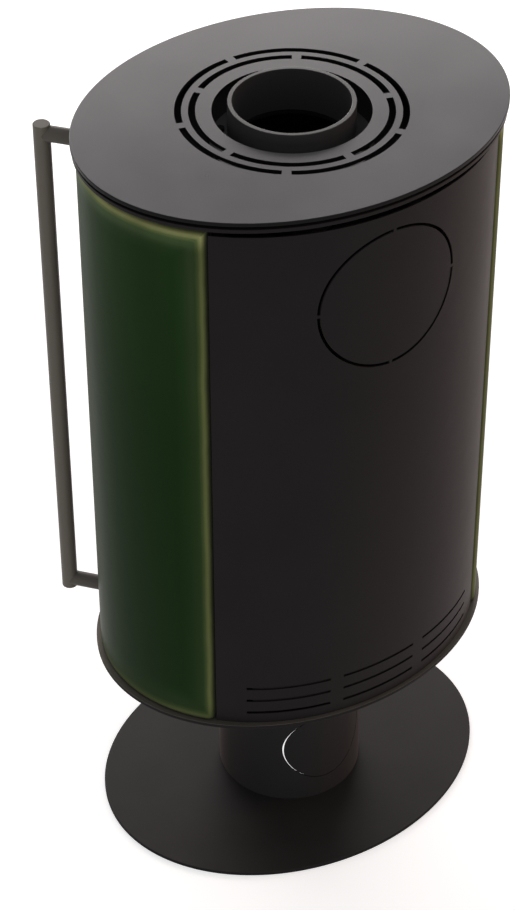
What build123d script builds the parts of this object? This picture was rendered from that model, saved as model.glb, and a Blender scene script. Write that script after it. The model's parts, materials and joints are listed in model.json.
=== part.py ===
"""Oval wood stove with two glazed side tiles, on a round pedestal and an oval floor plate.

Millimetres, +Z up. The origin is on the floor under the middle of the oval. The door faces -Y, the
steel back with its knock-out faces +Y, and the tiles stand at -X and +X. Right and left are those of
somebody who stands in front of the door.
"""

from build123d import *
from math import asin, cos, degrees, hypot, radians, sin, sqrt
import os

# ---------------------------------------------------------------- oval plan
PLATE_A = 270.0  # half width of the floor plate, the bottom plate and the top plate
PLATE_B = 215.0  # half depth of the same plates
PLATE_THICK = 5.0
PLATE_EDGE = 0.8  # rounded rim of the oval plates
CASING_A = 259.0  # half width of the casing's steel face
CASING_B = 210.0  # half depth of the casing's steel face
JOINT_X = 200.0  # where a tile meets the steel: distance from the centre plane
REAR_JOINT = 2.0  # open joint between tile and rear panel
DOOR_JOINT = 3.0  # open joint between tile and door

# ---------------------------------------------------------------- heights
PEDESTAL_HEIGHT = 269.3  # between floor plate and bottom plate
CASING_LIFT = 0.6  # open joint between bottom plate and casing
CASING_HEIGHT = 750.0
RING_GAP = 5.1  # shadow gap between casing and casing ring
TOP_GAP = 4.6  # shadow gap between casing ring and top plate
COLLAR_RISE = 12.3  # collar rim above the top plate

FLOOR_TOP = PLATE_THICK
BASE_BOTTOM = FLOOR_TOP + PEDESTAL_HEIGHT
BASE_TOP = BASE_BOTTOM + PLATE_THICK
CASING_BOTTOM = BASE_TOP + CASING_LIFT
CASING_TOP = CASING_BOTTOM + CASING_HEIGHT
RING_BOTTOM = CASING_TOP + RING_GAP
RING_TOP = RING_BOTTOM + PLATE_THICK
TOP_BOTTOM = RING_TOP + TOP_GAP
TOP_TOP = TOP_BOTTOM + PLATE_THICK
COLLAR_TOP = TOP_TOP + COLLAR_RISE

# ---------------------------------------------------------------- clearances
SEAT = 0.3  # between pieces that move against each other, or only rest there
RUN = 0.05  # radial play of a shaft in its hole
SLIP = 0.5  # radial play of a screw in its hole
SKIM = 0.1  # between curved faces that lie against each other
OVERCUT = 1.0  # how far a cut runs past the face it starts from

# ---------------------------------------------------------------- pedestal
PEDESTAL_R = 96.85
PEDESTAL_WALL = 2.0
FLANGE_THICK = 6.0
FLANGE_BORE_R = 70.0
FLANGE_BOLT_R = 82.0  # pitch radius of the flange bolts
FLOOR_AIR_R = 70.0  # outside-air opening through the floor plate
BASE_AIR_R = 60.0  # air opening through the bottom plate
BASE_BOLT_R = 4.0
BOLT_COUNT = 4
BOLT_TURN = 45.0
NUT_HEIGHT = 6.5
PEDESTAL_CUT_Z = 98.0  # centre of the outside-air knock-out
PEDESTAL_CUT_R = 60.0
PEDESTAL_SLOT = 1.5  # width of its laser-cut slot
CUT_TAB = 4.0  # width of the tabs that hold a knock-out's disc

# ---------------------------------------------------------------- casing
SHEET = 2.0
TILE_PROUD = 4.0  # tile face in front of the steel face
TILE_THICK = 18.0
TILE_ROUND = 10.0
TILE_FOOT_ROUND = 5.0  # along its lower edge, where it stands on the bottom plate
TILE_BORDER = 24.0  # full-thickness border round the hollow back of a tile
TILE_HOLLOW = 7.0
PANEL_DROP = 4.4  # rear panel's top edge below the tiles' top
PANEL_RETURN = 15.6  # rear panel's upper stiffener below its top edge
FLUE_CUT_DOWN = 119.9  # knock-out centre below the casing's top
FLUE_CUT_R = 92.3
FLUE_SLOT = 4.0
VENT_HEIGHT = 4.0
VENT_ROWS = 3
VENT_PITCH = 20.6
VENT_FIRST = 17.1  # lowest row above the casing's bottom
VENT_MID_HALF = 53.5
VENT_SIDE_IN = 70.5
VENT_SIDE_OUT = 169.5
POST_THICK = 3.0
POST_UNDER_TILE = 24.0
POST_UNDER_STEEL = 16.0
POST_LEG = 17.0
PAD_WIDTH = 12.0

# ---------------------------------------------------------------- top
HOLE_R = 93.3
SLOT_COUNT = 5
INNER_SLOT_R = 116.2  # centre line of the inner ring of slots
OUTER_SLOT_R = 132.4
TOP_SLOT = 8.2
TOP_BRIDGE = 11.0
COLLAR_R = 75.0
COLLAR_WALL = 5.8
COLLAR_FLANGE_R = 96.0
COLLAR_FLANGE = 4.0
COLLAR_BOLT_PITCH_R = 86.0
GASKET = 1.5
RING_OPEN_A = 215.0
RING_OPEN_B = 164.0
RING_RECESS = 1.5
SPACER_R = 8.0
SPACER_INSET = 38.0
SPACER_COUNT = 6

# ---------------------------------------------------------------- fire chamber
BODY_WALL = 4.0
BODY_HALF = 168.0  # half width outside
BODY_BACK = 150.0  # outside face of the back wall
BODY_CUT_X = 56.0  # chamfered rear corners
BODY_CUT_Y = 80.0
BODY_TOP_GAP = 34.5  # top of the chamber walls below the casing ring's underside
FRONT_IN = 30.0  # face of the curved front frame behind the steel face
FRONT_HALF = 176.0
FLOOR_RISE = 104.7  # firebox floor above the bottom plate
MOUTH_HALF = 145.0
MOUTH_RISE = 36.0  # sill of the fire opening above the firebox floor
MOUTH_HEIGHT = 400.0
MOUTH_ROUND = 10.0
ASH_HALF = 115.0
ASH_SILL = 17.7
ASH_HEIGHT = 75.0
LINING = 25.0
LINING_FIT = 0.5
LINING_HEIGHT = 382.0
BAFFLE_FRONT = -85.0
UPPER_BAFFLE_RISE = 458.0  # underside above the firebox floor's top
UPPER_BAFFLE_BACK = 100.0
BAFFLE_REST_LENGTH = 120.0
GRATE_X = 170.0
GRATE_Y = 140.0
GRATE_THICK = 14.0
GRATE_LEDGE = 10.0
GRATE_BARS = 9
GRATE_BAR = 9.0
GUARD_HEIGHT = 42.0
GUARD_Y = -104.0
OUTLET_R = 75.0
OUTLET_COVER_R = 92.0
OUTLET_BOLT_PITCH_R = 83.0
SHIELD_IN = 24.0
SHIELD_THICK = 1.2
SHIELD_HALF = 150.0
SHIELD_HOLE_R = 100.0
SHIELD_SPACER_X = 92.0
SMALL_BOLT_R = 3.0

# ---------------------------------------------------------------- combustion air
BOX_HALF = 105.0
BOX_FRONT = -150.0
BOX_BACK = 80.0
BOX_HEIGHT = 20.0
BOX_SHEET = 2.0
GUIDE_HEIGHT = 13.0
SPINDLE_Y = -120.0
SPINDLE_R = 5.0
SPINDLE_HUB_R = 9.0
PORT_R = 16.0
PORT_REACH = 46.0
SHUTTER_R = 68.0
SHUTTER_THICK = 3.0
SHUTTER_TURN = 30.0
LEVER_WIDTH = 18.0
LEVER_THICK = 4.0
LEVER_REACH = 88.0
LEVER_DROP = 3.3  # lever below the bottom plate
LEVER_TAB = 14.0
RISER_X = 154.0
RISER_Y = -104.0
RISER_WIDTH = 14.0
RISER_DEPTH = 20.0
RISER_WALL = 1.5
RAIL_BACK = 56.0
RAIL_HEIGHT = 20.0

# ---------------------------------------------------------------- ash pan
PAN_HALF = 100.0
PAN_FRONT = -110.0
PAN_BACK = 75.0
PAN_HEIGHT = 56.0
PAN_SHEET = 1.5
PAN_GRIP_HALF = 35.0
PAN_GRIP_OUT = 16.0
PAN_GRIP_R = 3.0

# ---------------------------------------------------------------- door
SKIN = 3.0
SKIN_FLANGE = 16.0
SKIN_BEND = 2.5
DOOR_DEPTH = 22.0  # back of the door frame behind the steel face
DOOR_FRAME_IN = 10.0  # frame set in from the skin's ends
DOOR_FRAME_RISE = 10.0  # frame set in from the skin's top and bottom
FRAME_WALL = 2.5
WINDOW_RISE = 150.0  # window sill above the skin's bottom
WINDOW_HEIGHT = 380.0
WINDOW_HALF = 145.0
WINDOW_ROUND = 12.0
GLASS_THICK = 4.0
GLASS_LAP = 8.0
GLASS_EDGE = 4.0  # play round the glass
SEAL_THICK = 1.2
SEAL_WIDTH = 7.0
RAIL_WIDTH = 30.0
ROPE_WIDTH = 10.0
ROPE_HALF = 166.0  # inside the hinge axis, so that the rope swings clear
ROPE_INSET = 15.0
CLIP_THICK = 2.0
CLIP_HEIGHT = 20.0
HINGE_ALONG = 18.0  # hinge axis from the door's end, along the face
HINGE_DEPTH = 10.0  # hinge axis behind the face
PIN_R = 4.0
PIN_SHOULDER_R = 6.0
BUSH_R = 6.2
BUSH_HEIGHT = 14.0
HANDLE_X = 189.0  # foot of the handle on the door's face
HANDLE_REACH = 60.0
HANDLE_R = 10.5
HANDLE_ARM_R = 10.0
HANDLE_BOTTOM = 3.5  # above the casing's bottom
HANDLE_LENGTH = 726.0
HANDLE_ARM_INSET = 12.5  # arm axis from the bar's end

# ---------------------------------------------------------------- catch
STRIKER_X = 182.0
STRIKER_THICK = 4.0
STRIKER_HEIGHT = 12.0
STRIKER_BACK = -84.0
NOSE = 3.0
CATCH_RISE = 370.0  # top of the striker above the casing's bottom
ROLLER_R = 6.0
ROLLER_Y = -98.0
PLUNGER_R = 4.0
PLUNGER_LENGTH = 30.0
HOUSING_HEIGHT = 34.0
HOUSING_LIFT = 12.0
EAR = 2.0
AXLE_R = 2.0

FIREBOX_FLOOR = BASE_TOP + FLOOR_RISE  # underside of the firebox floor
HEARTH = FIREBOX_FLOOR + BODY_WALL  # top of the firebox floor
BODY_TOP = RING_BOTTOM - BODY_TOP_GAP
BODY_IN = FRONT_IN + BODY_WALL
FLUE_CUT_Z = CASING_TOP - FLUE_CUT_DOWN
TILE_BACK = TILE_THICK - TILE_PROUD  # back of a tile behind the steel face
POST_IN = TILE_BACK + SEAT
BOX_TOP = BASE_TOP + BOX_HEIGHT
MOUTH_SILL = HEARTH + MOUTH_RISE
WINDOW_SILL = CASING_BOTTOM + WINDOW_RISE


# ================================================================ plan geometry
def oval(inset, mode=Mode.ADD):
    """Ellipse that lies inset behind the casing's steel face."""
    return Ellipse(CASING_A - inset, CASING_B - inset, mode=mode)


def oval_y(x, inset=0.0):
    """Half depth at x of the ellipse that lies inset behind the steel face."""
    return (CASING_B - inset) * sqrt(1 - (x / (CASING_A - inset)) ** 2)


def face_normal(x):
    """Outward unit normal of the steel face at x, in the first quadrant."""
    nx = x / CASING_A**2
    ny = oval_y(x) / CASING_B**2
    return nx / hypot(nx, ny), ny / hypot(nx, ny)


def corner(side_x, side_y, along=0.0, inward=0.0):
    """Plan point at a tile joint: along the face away from the tile, and inward behind the face."""
    nx, ny = face_normal(JOINT_X)
    x = side_x * (JOINT_X - ny * along - nx * inward)
    y = side_y * (oval_y(JOINT_X) + nx * along - ny * inward)
    return x, y


FAR = 2 * PLATE_A  # beyond every outline
DEEP = 60.0  # deeper than every wall of the casing


def steel_sector(side_y, set_back):
    """Plan region between the two tile joints, at the back (+1) or the front (-1)."""
    right_out = corner(1, side_y, set_back, -DEEP)
    right_in = corner(1, side_y, set_back, DEEP)
    left_out = corner(-1, side_y, set_back, -DEEP)
    left_in = corner(-1, side_y, set_back, DEEP)
    far_y = side_y * FAR
    return [right_in, right_out, (right_out[0], far_y), (left_out[0], far_y), left_out, left_in]


def tile_sector(side_x, front_back, rear_back):
    """Plan region of one tile, set back from its front joint and its rear joint."""
    rear_out = corner(side_x, 1, -rear_back, -DEEP)
    rear_in = corner(side_x, 1, -rear_back, DEEP)
    front_out = corner(side_x, -1, -front_back, -DEEP)
    front_in = corner(side_x, -1, -front_back, DEEP)
    far_x = side_x * FAR
    return [rear_in, rear_out, (far_x, rear_out[1]), (far_x, front_out[1]), front_out, front_in]


def corner_strip(side_x, side_y, start, end):
    """Plan region across the wall at a tile joint, from start to end along the face."""
    return [
        corner(side_x, side_y, start, -DEEP),
        corner(side_x, side_y, start, DEEP),
        corner(side_x, side_y, end, DEEP),
        corner(side_x, side_y, end, -DEEP),
    ]


def outline_face(points, mode=Mode.ADD):
    """Plan face of a closed outline, where its points say."""
    return Polygon(*points, align=None, mode=mode)


def curved_band(bottom, height, outer, inner, points):
    """Curved wall between two insets, trimmed to a plan region."""
    with BuildSketch(Plane.XY.offset(bottom)) as plan:
        oval(outer)
        oval(inner, mode=Mode.SUBTRACT)
        outline_face(points, Mode.INTERSECT)
    return extrude(plan.sketch, amount=height, mode=Mode.PRIVATE)


def plan_box(half_x, near_y, far_y):
    """Plan rectangle, symmetric about the centre plane."""
    return [(half_x, near_y), (half_x, far_y), (-half_x, far_y), (-half_x, near_y)]


def front_box(half_x):
    """Plan region of everything in front of the centre, half_x to each side."""
    return plan_box(half_x, 0, -FAR)


def seen_from_back(z):
    """Upright sketch plane through the centre that faces the back."""
    return Plane(origin=(0, 0, z), x_dir=(-1, 0, 0), z_dir=(0, 1, 0))


def seen_from_front(z):
    """Upright sketch plane through the centre that faces the door."""
    return Plane(origin=(0, 0, z), x_dir=(1, 0, 0), z_dir=(0, -1, 0))


def knock_out(radius, slot, tab_turn):
    """Round slot that is broken by four tabs, the first of them at tab_turn degrees."""
    Circle(radius + slot / 2)
    Circle(radius - slot / 2, mode=Mode.SUBTRACT)
    for turn in (tab_turn, tab_turn + 90):
        Rectangle(3 * radius, CUT_TAB, rotation=turn, mode=Mode.SUBTRACT)


def body_outline(inset):
    """Plan outline of the fire chamber, inset from its outside, open-ended towards the front."""
    slope = hypot(BODY_CUT_X, BODY_CUT_Y)
    side = BODY_HALF - inset
    back = BODY_BACK - inset
    side_end = BODY_BACK - BODY_CUT_Y - inset * (slope - BODY_CUT_Y) / BODY_CUT_X
    back_end = BODY_HALF - BODY_CUT_X - inset * (slope - BODY_CUT_X) / BODY_CUT_Y
    right = [(side, -FAR), (side, side_end), (back_end, back)]
    left = [(-x, y) for x, y in reversed(right)]
    return right + left


def body_plate(inset, front_inset):
    """Plan face inside the fire chamber, with the curved front edge of the front frame."""
    oval(front_inset)
    outline_face(body_outline(inset), Mode.INTERSECT)


def hex_bolt(x, y, head_bottom, head_height, shank_bottom, shank_top, radius):
    """Hexagon bolt or screw on a vertical axis."""
    with BuildSketch(Plane.XY.offset(head_bottom)) as head:
        with Locations((x, y)):
            RegularPolygon(2 * radius, 6)
    extrude(head.sketch, amount=head_height)
    with BuildSketch(Plane.XY.offset(shank_bottom)) as shank:
        with Locations((x, y)):
            Circle(radius)
    extrude(shank.sketch, amount=shank_top - shank_bottom)


def save(builder, name):
    """Label a finished piece and write it under its own name."""
    builder.part.label = name
    export_step(builder.part, f"parts/{name}.step")


os.makedirs("parts", exist_ok=True)

# ================================================================ floor plate and pedestal
bolt_places = PolarLocations(FLANGE_BOLT_R, BOLT_COUNT, start_angle=BOLT_TURN)

with BuildPart() as floor_plate:
    with BuildSketch():
        Ellipse(PLATE_A, PLATE_B)
        Circle(FLOOR_AIR_R, mode=Mode.SUBTRACT)
    extrude(amount=PLATE_THICK)
    fillet(floor_plate.edges().filter_by(GeomType.ELLIPSE), PLATE_EDGE)
    with Locations(Plane.XY.rotated((180, 0, 0))):
        with PolarLocations(FLANGE_BOLT_R, BOLT_COUNT, start_angle=BOLT_TURN):
            CounterSinkHole(BASE_BOLT_R + SLIP, 2 * BASE_BOLT_R + SLIP)
save(floor_plate, "floor_plate")

with BuildPart() as base_screws:
    with PolarLocations(FLANGE_BOLT_R, BOLT_COUNT, start_angle=BOLT_TURN):
        with Locations((0, 0, SEAT)):
            Cone(2 * BASE_BOLT_R, BASE_BOLT_R, BASE_BOLT_R, align=(Align.CENTER, Align.CENTER, Align.MIN))
            Cylinder(
                BASE_BOLT_R,
                FLOOR_TOP + FLANGE_THICK - SEAT,
                align=(Align.CENTER, Align.CENTER, Align.MIN),
            )
save(base_screws, "base_screws")

with BuildPart() as pedestal_tube:
    with BuildSketch(Plane.XY.offset(FLOOR_TOP)):
        Circle(PEDESTAL_R)
        Circle(PEDESTAL_R - PEDESTAL_WALL, mode=Mode.SUBTRACT)
    extrude(amount=PEDESTAL_HEIGHT)
    with BuildSketch(seen_from_back(PEDESTAL_CUT_Z).offset(2 * PEDESTAL_R)) as slots:
        knock_out(PEDESTAL_CUT_R, PEDESTAL_SLOT, 45)
    for slot in slots.sketch.faces():
        # the slot's walls stand square to the tube's face
        on_tube = slot.project_to_shape(pedestal_tube.part, (0, -1, 0)).sort_by(Axis.Y)[-1]
        thicken(on_tube, amount=PEDESTAL_WALL + OVERCUT, both=True, mode=Mode.SUBTRACT)
save(pedestal_tube, "pedestal_tube")

with BuildPart() as pedestal_flanges:
    for bottom in (FLOOR_TOP, BASE_BOTTOM - FLANGE_THICK):
        with BuildSketch(Plane.XY.offset(bottom)):
            Circle(PEDESTAL_R - PEDESTAL_WALL)
            Circle(FLANGE_BORE_R, mode=Mode.SUBTRACT)
            with PolarLocations(FLANGE_BOLT_R, BOLT_COUNT, start_angle=BOLT_TURN):
                Circle(BASE_BOLT_R + RUN, mode=Mode.SUBTRACT)
        extrude(amount=FLANGE_THICK)
save(pedestal_flanges, "pedestal_flanges")

with BuildPart() as head_bolts:
    for place in bolt_places.local_locations:
        spot = place.position
        head_top = BASE_BOTTOM - FLANGE_THICK
        head_bottom = head_top - NUT_HEIGHT
        shank_top = BASE_TOP + NUT_HEIGHT
        hex_bolt(spot.X, spot.Y, head_bottom, NUT_HEIGHT, head_top, shank_top, BASE_BOLT_R)
        with BuildSketch(Plane.XY.offset(BASE_TOP)) as nut:
            with Locations((spot.X, spot.Y)):
                RegularPolygon(2 * BASE_BOLT_R, 6)
        extrude(nut.sketch, amount=NUT_HEIGHT)
save(head_bolts, "head_bolts")

hinge_place = corner(-1, -1, DOOR_JOINT / 2 + HINGE_ALONG, HINGE_DEPTH)

with BuildPart() as bottom_plate:
    with BuildSketch(Plane.XY.offset(BASE_BOTTOM)):
        Ellipse(PLATE_A, PLATE_B)
        Circle(BASE_AIR_R, mode=Mode.SUBTRACT)
        with PolarLocations(FLANGE_BOLT_R, BOLT_COUNT, start_angle=BOLT_TURN):
            Circle(BASE_BOLT_R + RUN, mode=Mode.SUBTRACT)
        with Locations((0, SPINDLE_Y)):
            Circle(SPINDLE_R + RUN, mode=Mode.SUBTRACT)
        with Locations(hinge_place):
            Circle(PIN_R + RUN, mode=Mode.SUBTRACT)
    extrude(amount=PLATE_THICK)
    fillet(bottom_plate.edges().filter_by(GeomType.ELLIPSE), PLATE_EDGE)
save(bottom_plate, "bottom_plate")

# ================================================================ casing
with BuildPart() as rear_panel:
    panel = steel_sector(1, REAR_JOINT / 2)
    panel_height = CASING_HEIGHT - PANEL_DROP
    add(curved_band(CASING_BOTTOM, panel_height, 0, SHEET, panel))
    for side in (-1, 1):
        edge = corner_strip(side, 1, REAR_JOINT / 2, REAR_JOINT / 2 + SHEET)
        add(curved_band(CASING_BOTTOM, panel_height, 0, TILE_BACK, edge))
    for bottom in (CASING_BOTTOM, CASING_BOTTOM + panel_height - PANEL_RETURN):
        add(curved_band(bottom, SHEET, 0, TILE_BACK, panel))
    with BuildSketch(seen_from_back(FLUE_CUT_Z)):
        knock_out(FLUE_CUT_R, FLUE_SLOT, 0)
    extrude(amount=FAR, mode=Mode.SUBTRACT)
    for row in range(VENT_ROWS):
        with BuildSketch(seen_from_back(CASING_BOTTOM + VENT_FIRST + row * VENT_PITCH)):
            Rectangle(2 * VENT_MID_HALF, VENT_HEIGHT)
            side_middle = (VENT_SIDE_IN + VENT_SIDE_OUT) / 2
            with Locations((side_middle, 0), (-side_middle, 0)):
                Rectangle(VENT_SIDE_OUT - VENT_SIDE_IN, VENT_HEIGHT)
        extrude(amount=FAR, mode=Mode.SUBTRACT)
save(rear_panel, "rear_panel")


with BuildPart() as left_tile:
    outline = tile_sector(-1, DOOR_JOINT / 2, REAR_JOINT / 2)
    add(curved_band(CASING_BOTTOM, CASING_HEIGHT, -TILE_PROUD, TILE_BACK, outline))
    front_face = left_tile.faces().sort_by_distance((-FAR, 0, (CASING_BOTTOM + CASING_TOP) / 2))[0]
    fillet(front_face.edges().sort_by(Axis.Z)[1:], TILE_ROUND)
    foot = left_tile.edges().group_by(Axis.Z)[0].filter_by(GeomType.ELLIPSE).sort_by(SortBy.LENGTH)[-1]
    fillet(foot, TILE_FOOT_ROUND)
    border = tile_sector(-1, DOOR_JOINT / 2 + TILE_BORDER, REAR_JOINT / 2 + TILE_BORDER)
    hollow = curved_band(
        CASING_BOTTOM + TILE_BORDER,
        CASING_HEIGHT - 2 * TILE_BORDER,
        TILE_BACK - TILE_HOLLOW,
        TILE_BACK + SHEET,
        border,
    )
    add(hollow, mode=Mode.SUBTRACT)

with BuildPart() as right_tile:
    mirror(left_tile.part, about=Plane.YZ)
save(right_tile, "right_tile")
save(left_tile, "left_tile")

with BuildPart() as tile_pads:
    for side in (-1, 1):
        outline = tile_sector(side, TILE_BORDER, TILE_BORDER)
        add(curved_band(BASE_TOP, CASING_LIFT, TILE_BACK - PAD_WIDTH, TILE_BACK, outline))
        add(curved_band(CASING_TOP, RING_GAP, TILE_BACK - PAD_WIDTH, TILE_BACK, outline))
save(tile_pads, "tile_pads")


def corner_posts(side_y, under_steel):
    """Pair of upright angles behind the tile joints at the front (-1) or the back (1)."""
    with BuildPart() as posts:
        for side in (-1, 1):
            face = corner_strip(side, side_y, -POST_UNDER_TILE, under_steel)
            leg = corner_strip(side, side_y, -POST_UNDER_TILE, POST_THICK - POST_UNDER_TILE)
            height = RING_BOTTOM - BASE_TOP
            add(curved_band(BASE_TOP, height, POST_IN, POST_IN + POST_THICK, face))
            add(curved_band(BASE_TOP, height, POST_IN, POST_IN + POST_LEG, leg))
    return posts


front_posts = corner_posts(-1, -DOOR_JOINT)
rear_posts = corner_posts(1, POST_UNDER_STEEL)
save(front_posts, "front_posts")
save(rear_posts, "rear_posts")

with BuildPart() as casing_ring:
    with BuildSketch(Plane.XY.offset(RING_BOTTOM)):
        Ellipse(PLATE_A - RING_RECESS, PLATE_B - RING_RECESS)
        Ellipse(RING_OPEN_A, RING_OPEN_B, mode=Mode.SUBTRACT)
        with Locations(hinge_place):
            Circle(PIN_R + RUN, mode=Mode.SUBTRACT)
    extrude(amount=PLATE_THICK)
    rim = casing_ring.edges().filter_by(GeomType.ELLIPSE).group_by(SortBy.LENGTH)[-1]
    fillet(rim, PLATE_EDGE)
save(casing_ring, "casing_ring")

with BuildPart() as top_plate:
    with BuildSketch(Plane.XY.offset(TOP_BOTTOM)):
        Ellipse(PLATE_A, PLATE_B)
        Circle(HOLE_R, mode=Mode.SUBTRACT)
        for ring_r, first in ((INNER_SLOT_R, 90), (OUTER_SLOT_R, -90)):
            bridge = degrees(TOP_BRIDGE / ring_r)
            span = 360 / SLOT_COUNT - bridge
            for count in range(SLOT_COUNT):
                start = first + bridge / 2 + count * 360 / SLOT_COUNT
                with BuildLine():
                    outside = CenterArc((0, 0), ring_r + TOP_SLOT / 2, start, span)
                    inside = CenterArc((0, 0), ring_r - TOP_SLOT / 2, start, span)
                    Line(outside @ 0, inside @ 0)
                    Line(outside @ 1, inside @ 1)
                make_face(mode=Mode.SUBTRACT)
    extrude(amount=PLATE_THICK)
    fillet(top_plate.edges().filter_by(GeomType.ELLIPSE), PLATE_EDGE)
save(top_plate, "top_plate")

with BuildPart() as top_spacers:
    with BuildSketch(Plane.XY.offset(RING_TOP)):
        for count in range(SPACER_COUNT):
            turn = radians(count * 360 / SPACER_COUNT)
            with Locations(((PLATE_A - SPACER_INSET) * cos(turn), (PLATE_B - SPACER_INSET) * sin(turn))):
                Circle(SPACER_R)
                Circle(SMALL_BOLT_R, mode=Mode.SUBTRACT)
    extrude(amount=TOP_GAP)
save(top_spacers, "top_spacers")

# ================================================================ fire chamber
with BuildPart() as firebox_shell:
    with BuildSketch(Plane.XY.offset(BASE_TOP)):
        body_plate(0, BODY_IN)
        outline_face(body_outline(BODY_WALL), Mode.SUBTRACT)
    extrude(amount=BODY_TOP - BASE_TOP)
    with BuildSketch(seen_from_back(FLUE_CUT_Z)):
        Circle(OUTLET_R)
        with PolarLocations(OUTLET_BOLT_PITCH_R, BOLT_COUNT, start_angle=BOLT_TURN):
            Circle(SMALL_BOLT_R + RUN)
    extrude(amount=BODY_BACK + BODY_WALL, mode=Mode.SUBTRACT)
save(firebox_shell, "firebox_shell")

with BuildPart() as firebox_front:
    add(curved_band(BASE_TOP, BODY_TOP - BASE_TOP, FRONT_IN, BODY_IN, front_box(FRONT_HALF)))
    with BuildSketch(seen_from_front(0)):
        with Locations((0, MOUTH_SILL + MOUTH_HEIGHT / 2)):
            RectangleRounded(2 * MOUTH_HALF, MOUTH_HEIGHT, MOUTH_ROUND)
        with Locations((0, BASE_TOP + ASH_SILL + ASH_HEIGHT / 2)):
            RectangleRounded(2 * ASH_HALF, ASH_HEIGHT, MOUTH_ROUND / 2)
    extrude(amount=FAR, mode=Mode.SUBTRACT)
save(firebox_front, "firebox_front")

with BuildPart() as firebox_top:
    with BuildSketch(Plane.XY.offset(BODY_TOP)):
        body_plate(0, FRONT_IN)
        Circle(COLLAR_R - COLLAR_WALL, mode=Mode.SUBTRACT)
        with PolarLocations(COLLAR_BOLT_PITCH_R, BOLT_COUNT, start_angle=BOLT_TURN):
            Circle(SMALL_BOLT_R + RUN, mode=Mode.SUBTRACT)
    extrude(amount=BODY_WALL)
save(firebox_top, "firebox_top")

riser_places = [(RISER_X, RISER_Y), (-RISER_X, RISER_Y)]

with BuildPart() as firebox_floor:
    with BuildSketch(Plane.XY.offset(FIREBOX_FLOOR)):
        body_plate(BODY_WALL, BODY_IN)
        Rectangle(GRATE_X - 2 * GRATE_LEDGE, GRATE_Y - 2 * GRATE_LEDGE, mode=Mode.SUBTRACT)
        with Locations(*riser_places):
            Rectangle(RISER_WIDTH - 2 * RISER_WALL, RISER_DEPTH - 2 * RISER_WALL, mode=Mode.SUBTRACT)
    extrude(amount=BODY_WALL)
save(firebox_floor, "firebox_floor")

COLLAR_SEAT = BODY_TOP + BODY_WALL

with BuildPart() as collar_gasket:
    with BuildSketch(Plane.XY.offset(COLLAR_SEAT)):
        Circle(COLLAR_FLANGE_R)
        Circle(COLLAR_R, mode=Mode.SUBTRACT)
        with PolarLocations(COLLAR_BOLT_PITCH_R, BOLT_COUNT, start_angle=BOLT_TURN):
            Circle(SMALL_BOLT_R + RUN, mode=Mode.SUBTRACT)
    extrude(amount=GASKET)
save(collar_gasket, "collar_gasket")

with BuildPart() as flue_collar:
    with BuildSketch(Plane.XY.offset(COLLAR_SEAT + GASKET)):
        Circle(COLLAR_FLANGE_R)
        Circle(COLLAR_R - COLLAR_WALL, mode=Mode.SUBTRACT)
        with PolarLocations(COLLAR_BOLT_PITCH_R, BOLT_COUNT, start_angle=BOLT_TURN):
            Circle(SMALL_BOLT_R + RUN, mode=Mode.SUBTRACT)
    extrude(amount=COLLAR_FLANGE)
    with BuildSketch(Plane.XY.offset(COLLAR_SEAT + GASKET)):
        Circle(COLLAR_R)
        Circle(COLLAR_R - COLLAR_WALL, mode=Mode.SUBTRACT)
    extrude(amount=COLLAR_TOP - COLLAR_SEAT - GASKET)
    fillet(flue_collar.edges().group_by(Axis.Z)[-1], PLATE_EDGE)
save(flue_collar, "flue_collar")

with BuildPart() as collar_bolts:
    head_bottom = COLLAR_SEAT + GASKET + COLLAR_FLANGE
    for place in PolarLocations(COLLAR_BOLT_PITCH_R, BOLT_COUNT, start_angle=BOLT_TURN).local_locations:
        spot = place.position
        hex_bolt(spot.X, spot.Y, head_bottom, BODY_WALL, BODY_TOP, head_bottom, SMALL_BOLT_R)
save(collar_bolts, "collar_bolts")

with BuildPart() as outlet_cover:
    with BuildSketch(seen_from_back(FLUE_CUT_Z).offset(BODY_BACK)):
        Circle(OUTLET_COVER_R)
        with PolarLocations(OUTLET_BOLT_PITCH_R, BOLT_COUNT, start_angle=BOLT_TURN):
            Circle(SMALL_BOLT_R + RUN, mode=Mode.SUBTRACT)
    extrude(amount=BODY_WALL)
save(outlet_cover, "outlet_cover")

with BuildPart() as outlet_cover_bolts:
    with BuildSketch(seen_from_back(FLUE_CUT_Z).offset(BODY_BACK + BODY_WALL)):
        with PolarLocations(OUTLET_BOLT_PITCH_R, BOLT_COUNT, start_angle=BOLT_TURN):
            RegularPolygon(2 * SMALL_BOLT_R, 6)
    extrude(amount=BODY_WALL)
    with BuildSketch(seen_from_back(FLUE_CUT_Z).offset(BODY_BACK - BODY_WALL)):
        with PolarLocations(OUTLET_BOLT_PITCH_R, BOLT_COUNT, start_angle=BOLT_TURN):
            Circle(SMALL_BOLT_R)
    extrude(amount=2 * BODY_WALL)
save(outlet_cover_bolts, "outlet_cover_bolts")

# ---------------------------------------------------------------- lining, baffles, grate
lining_out = BODY_WALL + LINING_FIT
lining_in = lining_out + LINING
outer_side, outer_back = body_outline(lining_out)[1:3]
inner_side, inner_back = body_outline(lining_in)[1:3]
lining_front = RISER_Y + RISER_DEPTH / 2 + 2 * LINING_FIT

with BuildPart() as rear_lining:
    with BuildSketch(Plane.XY.offset(HEARTH)):
        outline_face(plan_box(inner_back[0] - LINING_FIT, inner_back[1], outer_back[1]))
    extrude(amount=LINING_HEIGHT)
save(rear_lining, "rear_lining")


def side_lining(side):
    """Flat insulating board on one side wall."""
    with BuildPart() as board:
        with BuildSketch(Plane.XY.offset(HEARTH)):
            back = inner_side[1] - LINING_FIT
            outline_face(
                [
                    (side * outer_side[0], lining_front),
                    (side * outer_side[0], back),
                    (side * inner_side[0], back),
                    (side * inner_side[0], lining_front),
                ]
            )
        extrude(amount=LINING_HEIGHT)
    return board


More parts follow.
